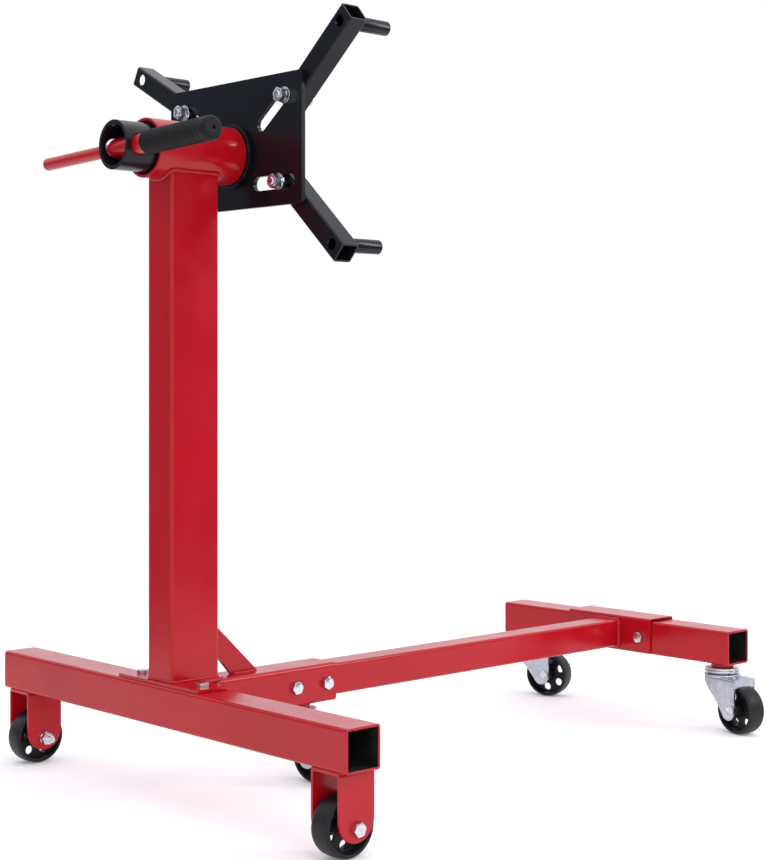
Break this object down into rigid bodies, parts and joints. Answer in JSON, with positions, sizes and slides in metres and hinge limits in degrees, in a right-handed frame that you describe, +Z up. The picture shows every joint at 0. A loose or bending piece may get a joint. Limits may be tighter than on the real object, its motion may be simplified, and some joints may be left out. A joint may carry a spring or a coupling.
{
  "type": "engine stand",
  "caption": "Rolling T-frame engine stand: a square post carries a turning head with a slotted plate, adjustable arms and a cross handle.",
  "frame": {"origin": "centre of the bounding box's footprint, on the floor under the wheels", "axes": "+X to the right along the two crossbeams, +Y forward from the post towards the short crossbeam, the way the arms' fingers point, +Z up"},
  "size_m": [0.704, 0.989, 0.9698],
  "materials": {
    "red_paint": "glossy red powder coat",
    "black_paint": "glossy black paint",
    "zinc": "bright zinc plate",
    "wheel": "black moulded polymer, semi-matte",
    "grip": "matte ribbed black rubber"
  },
  "bodies": {
    "frame": {"rear_beam": "red_paint", "leg_socket": "red_paint", "centre_leg": "red_paint", "front_saddle": "red_paint", "front_beam": "red_paint", "post_base_plate": "red_paint", "post": "red_paint", "post_brace": "red_paint", "head_housing": "red_paint", "rear_bracket_right": "red_paint", "rear_bracket_left": "red_paint", "front_right_boss": "red_paint", "front_left_boss": "red_paint", "centre_boss": "red_paint", "base_bolt_right": "zinc", "base_bolt_left": "zinc", "leg_bolt_1": "zinc", "leg_bolt_2": "zinc", "saddle_bolt_right": "zinc", "saddle_bolt_left": "zinc", "rear_axle_right": "zinc", "rear_axle_left": "zinc", "front_right_race": "zinc", "front_left_race": "zinc", "centre_race": "zinc"},
    "head": {"turning_tube": "black_paint", "thrust_collar": "black_paint", "head_plate": "black_paint"},
    "handle": {"handle_bar": "red_paint", "handle_grip": "grip"},
    "clamp_upper_right": {"arm_bolt_upper_right": "zinc", "arm_nut_upper_right": "zinc"},
    "swing_upper_right": {"arm_upper_right": "black_paint", "finger_upper_right": "black_paint"},
    "clamp_upper_left": {"arm_bolt_upper_left": "zinc", "arm_nut_upper_left": "zinc"},
    "swing_upper_left": {"arm_upper_left": "black_paint", "finger_upper_left": "black_paint"},
    "clamp_lower_right": {"arm_bolt_lower_right": "zinc", "arm_nut_lower_right": "zinc"},
    "swing_lower_right": {"arm_lower_right": "black_paint", "finger_lower_right": "black_paint"},
    "clamp_lower_left": {"arm_bolt_lower_left": "zinc", "arm_nut_lower_left": "zinc"},
    "swing_lower_left": {"arm_lower_left": "black_paint", "finger_lower_left": "black_paint"},
    "rear_roller_right": {"rear_wheel_right": "wheel"},
    "rear_roller_left": {"rear_wheel_left": "wheel"},
    "front_right_swivel": {"front_right_fork": "zinc", "front_right_axle": "zinc"},
    "front_right_roller": {"front_right_wheel": "wheel"},
    "front_left_swivel": {"front_left_fork": "zinc", "front_left_axle": "zinc"},
    "front_left_roller": {"front_left_wheel": "wheel"},
    "centre_swivel": {"centre_fork": "zinc", "centre_axle": "zinc"},
    "centre_roller": {"centre_wheel": "wheel"}
  },
  "joints": [
    {"name": "head_turn", "type": "hinge", "parent": "frame", "child": "head", "pos_m": [0, -0.3885, 0.804], "axis": [0, 1, 0], "continuous": true},
    {"name": "handle_slide", "type": "slide", "parent": "head", "child": "handle", "axis": [0.9994, 0, 0.0359], "range_m": [0, 0.12]},
    {"name": "slot_upper_right", "type": "slide", "parent": "head", "child": "clamp_upper_right", "axis": [0.8028, 0, 0.5962], "range_m": [-0.055, 0.002]},
    {"name": "swing_upper_right", "type": "hinge", "parent": "clamp_upper_right", "child": "swing_upper_right", "pos_m": [0.10281, -0.2925, 0.8704], "axis": [0, -1, 0], "range_deg": [-50, 50]},
    {"name": "slot_upper_left", "type": "slide", "parent": "head", "child": "clamp_upper_left", "axis": [-0.8028, 0, 0.5962], "range_m": [-0.055, 0.002]},
    {"name": "swing_upper_left", "type": "hinge", "parent": "clamp_upper_left", "child": "swing_upper_left", "pos_m": [-0.10281, -0.2925, 0.8704], "axis": [0, -1, 0], "range_deg": [-50, 50]},
    {"name": "slot_lower_right", "type": "slide", "parent": "head", "child": "clamp_lower_right", "axis": [1, 0, 0], "range_m": [-0.041, 0.021]},
    {"name": "swing_lower_right", "type": "hinge", "parent": "clamp_lower_right", "child": "swing_lower_right", "pos_m": [0.091, -0.2925, 0.7657], "axis": [0, -1, 0], "range_deg": [-50, 40]},
    {"name": "slot_lower_left", "type": "slide", "parent": "head", "child": "clamp_lower_left", "axis": [-1, 0, 0], "range_m": [-0.041, 0.021]},
    {"name": "swing_lower_left", "type": "hinge", "parent": "clamp_lower_left", "child": "swing_lower_left", "pos_m": [-0.091, -0.2925, 0.7657], "axis": [0, -1, 0], "range_deg": [-40, 50]},
    {"name": "rear_roll_right", "type": "hinge", "parent": "frame", "child": "rear_roller_right", "pos_m": [0.3162, -0.407, 0.0355], "axis": [1, 0, 0], "continuous": true},
    {"name": "rear_roll_left", "type": "hinge", "parent": "frame", "child": "rear_roller_left", "pos_m": [-0.3162, -0.407, 0.0355], "axis": [1, 0, 0], "continuous": true},
    {"name": "front_right_turn", "type": "hinge", "parent": "frame", "child": "front_right_swivel", "pos_m": [0.195, 0.4535, 0.085], "axis": [0, 0, 1], "continuous": true},
    {"name": "front_right_roll", "type": "hinge", "parent": "front_right_swivel", "child": "front_right_roller", "pos_m": [0.23242, 0.4469, 0.0355], "axis": [0.1736, 0.9848, 0], "continuous": true},
    {"name": "front_left_turn", "type": "hinge", "parent": "frame", "child": "front_left_swivel", "pos_m": [-0.195, 0.4535, 0.085], "axis": [0, 0, 1], "continuous": true},
    {"name": "front_left_roll", "type": "hinge", "parent": "front_left_swivel", "child": "front_left_roller", "pos_m": [-0.15886, 0.46524, 0.0355], "axis": [-0.309, 0.9511, 0], "continuous": true},
    {"name": "centre_turn", "type": "hinge", "parent": "frame", "child": "centre_swivel", "pos_m": [0, -0.2065, 0.085], "axis": [0, 0, 1], "continuous": true},
    {"name": "centre_roll", "type": "hinge", "parent": "centre_swivel", "child": "centre_roller", "pos_m": [0.03742, -0.1999, 0.0355], "axis": [-0.1736, 0.9848, 0], "continuous": true}
  ]
}
